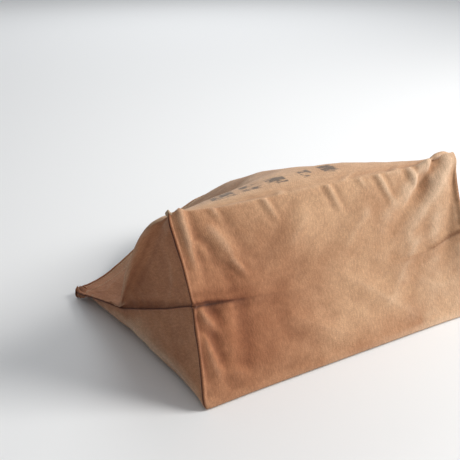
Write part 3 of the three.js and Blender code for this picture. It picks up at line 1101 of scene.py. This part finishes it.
def makeTape(name, spots, replaced, material):
    # the bound edges of a seam stand up inside along it
    bm = bmesh.new()
    uv = bm.loops.layers.uv.new("tape")
    rows = []
    for number, spot in enumerate(spots):
        point, normal = onCloth(spot)
        root = point - normal * tape["clearance"]
        sway = Vector((0, 0, 1)) * tape["wave"] * math.sin(number * 0.9)
        rows.append((root, root - normal * tape["width"] + sway))
    verts = [bm.verts.new(row[0]) for row in rows]
    edges = [bm.edges.new(pair) for pair in zip(verts, verts[1:])]
    made = bmesh.ops.extrude_edge_only(bm, edges=edges)["geom"]
    newVerts = [g for g in made if isinstance(g, bmesh.types.BMVert)]
    for vert in newVerts:
        nearest = min(rows, key=lambda row: (row[0] - vert.co).length_squared)
        vert.co = nearest[1]
    for face in bm.faces:
        for loop in face.loops:
            gaps = [min((p - loop.vert.co).length_squared for p in row) for row in rows]
            along = gaps.index(min(gaps)) * tape["step"]
            loop[uv].uv = (along, tape["width"] if loop.vert in newVerts else 0)
    result = addObject(name, meshFrom(bm, name))
    thicken(result, tape["thickness"])
    finish(result, material)
    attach(result, "sack")
    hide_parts(replaced)


tapeCloth = tapeMaterial()
for side, word in ((-1, "left"), (1, "right")):
    x = side * halfLength
    low, high = tape["fromEndSeam"], cut["height"] - hem["width"] - tape["belowHem"]
    sideSpots = [(x, seamY, h) for h in [low, *evenPlaces(low, high, tape["step"]), high]]
    low, high = tape["fromCorner"], cut["depth"] - tape["fromCorner"]
    endSpots = [(x, y, 0) for y in [low, *evenPlaces(low, high, tape["step"]), high]]
    makeTape(word + "_side_tape", sideSpots, word + "_side_seam_binding", tapeCloth)
    makeTape(word + "_end_tape", endSpots, word + "_end_seam_binding", tapeCloth)


print("ends of the seam allowance at the upper corners")
ear = {
    "width": 6 * mm,
    "thickness": 2.6 * mm,
    "radius": 2.2 * mm,
    "turn": math.radians(150),
    "steps": 8,
    "sunk": 2.4 * mm,
    "drop": 3 * mm,
    "outward": (0.9, -0.4, 0.12),
    "twist": -0.9,
}


def makeCornerEar(side, material):
    # a few millimetres of folded seam stick out at the corner and curl over
    bm = bmesh.new()
    bmesh.ops.create_grid(bm, x_segments=2, y_segments=2, size=0.5)
    bmesh.ops.scale(bm, verts=bm.verts, vec=(ear["width"], ear["thickness"], 1))
    bmesh.ops.spin(
        bm, geom=bm.verts[:] + bm.edges[:] + bm.faces[:], cent=(0, ear["radius"], 0), axis=(1, 0, 0),
        angle=-ear["turn"], steps=ear["steps"],
    )
    bmesh.ops.recalc_face_normals(bm, faces=bm.faces)
    point, _ = onCloth((side * halfLength, cut["depth"], 0))
    outward = (Vector(ear["outward"]) * Vector((side, 1, 1))).normalized()
    root = point - outward * ear["sunk"] - Vector((0, 0, ear["drop"]))
    turn = outward.to_track_quat("Z", "Y").to_matrix().to_4x4()
    place = Matrix.Translation(root) @ turn @ Matrix.Rotation(side * ear["twist"], 4, "Z")
    bmesh.ops.transform(bm, matrix=place, verts=bm.verts)
    name = ("left" if side < 0 else "right") + "_corner_ear"
    made = addObject(name, meshFrom(bm, name))
    rounding = made.modifiers.new("rounding", "SUBSURF")
    rounding.levels = rounding.render_levels = 2
    applyModifiers(made)
    finish(made, material)
    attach(made, "sack")


for side in (-1, 1):
    makeCornerEar(side, tapeCloth)


print("brass eyelets")
brassLook = {
    "bright": (0.62, 0.47, 0.22, 1),
    "dull": (0.28, 0.21, 0.11, 1),
    "tarnish": (0.10, 0.09, 0.06, 1),
}


def brassMaterial():
    material, shader = newMaterial("agedBrass")
    place = addNode(material, "ShaderNodeTexCoord").outputs["Object"]
    dull = ramp(material, noiseNode(material, place, 140.0, 5.0), 0.35, 0.65)
    spots = ramp(material, noiseNode(material, place, 420.0, 4.0), 0.55, 0.72)
    scratch = noiseNode(material, place, 1400.0, 3.0)
    colour = mixColour(material, dull, brassLook["bright"], brassLook["dull"])
    colour = mixColour(material, spots, colour, brassLook["tarnish"])
    rough = mathNode(material, "ADD", mathNode(material, "MULTIPLY", dull, 0.3), 0.3)
    relief = addNode(material, "ShaderNodeBump", {"Height": scratch, "Strength": 0.3, "Distance": 0.1 * mm})
    links = material.node_tree.links
    links.new(colour, shader.inputs["Base Color"])
    links.new(rough, shader.inputs["Roughness"])
    links.new(relief.outputs[0], shader.inputs["Normal"])
    shader.inputs["Metallic"].default_value = 1.0
    return material


def spinProfile(name, profile, place):
    # a closed ring from its section, given as radius and height
    bm = bmesh.new()
    verts = [bm.verts.new((radius, 0, height)) for radius, height in profile]
    edges = [bm.edges.new(pair) for pair in zip(verts, verts[1:] + verts[:1])]
    bmesh.ops.spin(
        bm, geom=verts + edges, cent=(0, 0, 0), axis=(0, 0, 1), angle=math.tau,
        steps=eyelet["facets"], use_merge=True,
    )
    bmesh.ops.remove_doubles(bm, verts=bm.verts, dist=1e-6)
    bmesh.ops.recalc_face_normals(bm, faces=bm.faces)
    bmesh.ops.transform(bm, matrix=place, verts=bm.verts)
    return addObject(name, meshFrom(bm, name))


def eyeletProfile():
    # rim, crown and throat on the outside, then the barrel, curled over at the back
    top = cut["clothThickness"] / 2
    bore, barrel, flange = eyelet["bore"], eyelet["barrel"], eyelet["flange"]
    middle, half = (bore + flange) / 2, (flange - bore) / 2
    crown = []
    for step in range(13):
        angle = math.pi * step / 12
        crown.append((middle + half * math.cos(angle), top + 0.25 * mm + eyelet["crown"] * math.sin(angle)))
    foot = -hem["layerGap"] - top - eyelet["metal"] - 0.9 * mm
    curl = [(bore, foot), (bore + 0.5 * mm, foot - 0.7 * mm), (bore + 1.5 * mm, foot - 0.6 * mm)]
    curl += [(bore + 1.9 * mm, foot + 0.2 * mm), (barrel + 0.3 * mm, foot + 0.2 * mm)]
    under = [(barrel, foot + 0.9 * mm), (barrel, top), (flange - 1 * mm, top), (flange, top + 0.05 * mm)]
    return crown + curl + under


def washerProfile():
    top = -hem["layerGap"] - cut["clothThickness"] / 2
    inner, outer, metal = eyelet["barrel"] + 0.15 * mm, eyelet["flange"], eyelet["metal"]
    return [
        (inner, top), (outer - 0.3 * mm, top), (outer, top - 0.3 * mm), (outer - 0.3 * mm, top - metal),
        (inner + 0.5 * mm, top - metal - 0.2 * mm), (inner, top - metal),
    ]


def addBrass(made, material, lip, replaced):
    finish(made, material)
    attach(made, "front" if lip == "front" else "sack")
    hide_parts(replaced)


brass = brassMaterial()
for lip in ("front", "back"):
    for number, spot in enumerate(eyeletSpots(lip), start=1):
        point, normal = onCloth(spot)
        turn = normal.to_track_quat("Z", "Y").to_matrix().to_4x4()
        place = Matrix.Translation(point) @ turn
        ring = spinProfile(f"brass_eyelet_{lip}_{number}", eyeletProfile(), place)
        addBrass(ring, brass, lip, f"{lip}_eyelet_{number}")
        washer = spinProfile(f"brass_washer_{lip}_{number}", washerProfile(), place)
        addBrass(washer, brass, lip, f"{lip}_eyelet_washer_{number}")


print("stage, light and camera")
scene.view_settings.view_transform = "Standard"
stage = {
    "camera": (-0.3712, origin[1] - 0.4067, 0.4175),
    "pitch": 26.2,
    "turn": -27.7,
    "lens": 46.96,
    "floor": 12.0,
    "paint": (0.84, 0.845, 0.85, 1),
    "brightSide": (0.75, 0.15, 0.64),
    "dimRoom": (0.05, 0.052, 0.055, 1),
    "brightRoom": (0.50, 0.51, 0.52, 1),
}


def addFloor():
    bm = bmesh.new()
    bmesh.ops.create_grid(bm, x_segments=1, y_segments=1, size=stage["floor"] / 2)
    made = addObject("stage_floor", meshFrom(bm, "stage_floor"))
    paint, shader = newMaterial("stagePaint")
    shader.inputs["Base Color"].default_value = stage["paint"]
    shader.inputs["Roughness"].default_value = 0.6
    made.data.materials.append(paint)


def addArea(name, place, aim, size, power, colour):
    light = bpy.data.lights.new(name, "AREA")
    light.shape = "RECTANGLE"
    light.size, light.size_y = size
    light.energy = power
    light.color = colour
    made = addObject(name, light)
    made.location = place
    made.rotation_euler = (Vector(aim) - Vector(place)).to_track_quat("-Z", "Y").to_euler()


def addRoomLight():
    world = bpy.data.worlds.new("softRoom")
    world.use_nodes = True
    sky = world.node_tree.nodes["Background"]
    towards = addNode(world, "ShaderNodeTexCoord").outputs["Generated"]
    inputs = {0: towards, 1: stage["brightSide"]}
    facing = addNode(world, "ShaderNodeVectorMath", inputs, operation="DOT_PRODUCT")
    share = ramp(world, facing.outputs["Value"], -0.8, 0.8)
    colour = mixColour(world, share, stage["dimRoom"], stage["brightRoom"])
    world.node_tree.links.new(colour, sky.inputs["Color"])
    sky.inputs["Strength"].default_value = 1
    scene.world = world


def addCamera():
    camera = bpy.data.cameras.new("camera")
    camera.lens = stage["lens"]
    camera.sensor_width = 36
    made = addObject("camera", camera)
    made.location = stage["camera"]
    made.rotation_euler = (math.radians(90 - stage["pitch"]), 0, math.radians(stage["turn"]))
    scene.camera = made


addFloor()
addArea("window", (1.65, -0.9, 1.35), (0.05, -0.05, 0.05), (0.9, 0.9), 57, (1, 0.985, 0.96))
addArea("farWindow", (1.2, 2.7, 1.9), (0.8, 1.3, 0), (2.2, 1.2), 27, (0.97, 0.985, 1))
addRoomLight()
addCamera()
